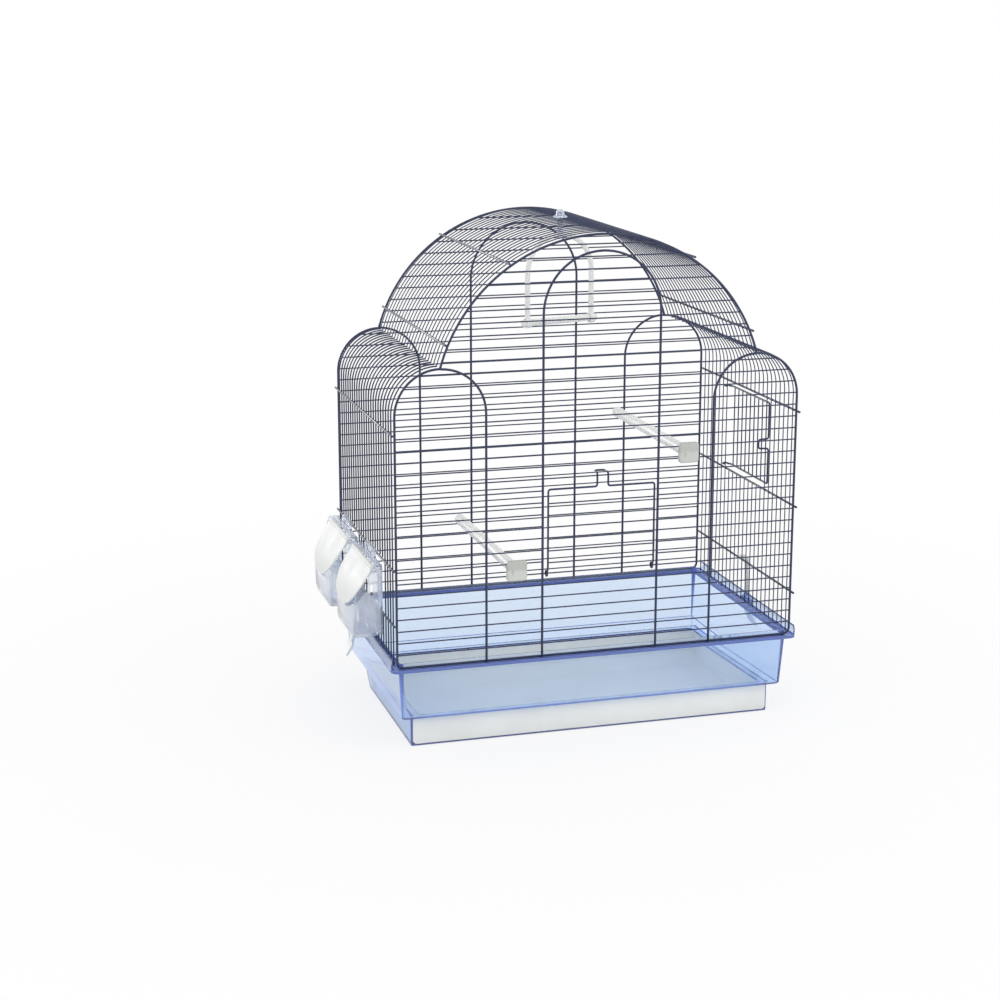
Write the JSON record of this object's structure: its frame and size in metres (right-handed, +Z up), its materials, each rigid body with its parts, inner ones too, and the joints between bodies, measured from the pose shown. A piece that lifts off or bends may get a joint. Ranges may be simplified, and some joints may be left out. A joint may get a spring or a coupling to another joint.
{
  "type": "bird cage",
  "caption": "Arched wire bird cage on a clear blue tray with a pull-out drawer, front and side doors, perches, a swing, outside seed feeders and side clips.",
  "frame": {"origin": "on the floor under the middle of the drawer housing, centred on the wire body", "axes": "+Z up, +X to the right seen from the front, the front door faces -Y, the feeders are on the -X side"},
  "size_m": [0.503, 0.288, 0.5468],
  "materials": {
    "navy_wire": "satin dark blue coating",
    "blue_tray": "clear tinted plastic",
    "white_plastic": "smooth white plastic",
    "perch_cap": "soft grey plastic",
    "opal_plastic": "opal plastic",
    "clear_plastic": "clear plastic"
  },
  "bodies": {
    "cage": {"base_tray": "blue_tray", "front_panel": "navy_wire", "back_panel": "navy_wire", "left_wall": "navy_wire", "right_wall": "navy_wire", "roof_arch": "navy_wire", "perch_low": "white_plastic", "perch_low_cap": "perch_cap", "perch_high": "white_plastic", "perch_high_cap": "perch_cap", "swing_hook": "clear_plastic", "feeder_front_plate": "clear_plastic", "feeder_rear_plate": "clear_plastic"},
    "drawer": {"drawer": "white_plastic"},
    "front_door": {"front_door": "navy_wire"},
    "side_door": {"side_door": "navy_wire"},
    "swing": {"swing_bow": "white_plastic", "swing_rod": "white_plastic"},
    "feeder_front_cup": {"feeder_front_cup": "clear_plastic"},
    "feeder_front_hood": {"feeder_front_hood": "opal_plastic"},
    "feeder_rear_cup": {"feeder_rear_cup": "clear_plastic"},
    "feeder_rear_hood": {"feeder_rear_hood": "opal_plastic"},
    "clip_left": {"clip_left": "white_plastic"},
    "clip_right": {"clip_right": "white_plastic"}
  },
  "joints": [
    {"name": "drawer_slide", "type": "slide", "parent": "cage", "child": "drawer", "axis": [0, -1, 0], "range_m": [0, 0.19]},
    {"name": "front_door_hinge", "type": "hinge", "parent": "cage", "child": "front_door", "pos_m": [0, -0.137, 0.18316], "axis": [1, 0, 0], "range_deg": [0, 145]},
    {"name": "side_door_hinge", "type": "hinge", "parent": "cage", "child": "side_door", "pos_m": [0.221, 0.05708, 0.2874], "axis": [0, 0, 1], "range_deg": [0, 140]},
    {"name": "swing_swing", "type": "hinge", "parent": "cage", "child": "swing", "pos_m": [0, 0.00571, 0.5204], "axis": [0.972, 0.2351, 0], "range_deg": [-35, 35]},
    {"name": "feeder_front_cup_slide", "type": "slide", "parent": "cage", "child": "feeder_front_cup", "axis": [-1, 0, 0], "range_m": [0, 0.035]},
    {"name": "feeder_front_hood_hinge", "type": "hinge", "parent": "cage", "child": "feeder_front_hood", "pos_m": [-0.233, -0.042, 0.1882], "axis": [0, 1, 0], "range_deg": [0, 60]},
    {"name": "feeder_rear_cup_slide", "type": "slide", "parent": "cage", "child": "feeder_rear_cup", "axis": [-1, 0, 0], "range_m": [0, 0.035]},
    {"name": "feeder_rear_hood_hinge", "type": "hinge", "parent": "cage", "child": "feeder_rear_hood", "pos_m": [-0.233, 0.0775, 0.1882], "axis": [0, 1, 0], "range_deg": [0, 60]},
    {"name": "clip_left_hinge", "type": "hinge", "parent": "cage", "child": "clip_left", "pos_m": [-0.2312, 0.01775, 0.09], "axis": [0, -1, 0], "range_deg": [0, 30]},
    {"name": "clip_right_hinge", "type": "hinge", "parent": "cage", "child": "clip_right", "pos_m": [0.2312, 0.003, 0.09], "axis": [0, 1, 0], "range_deg": [0, 30]}
  ]
}
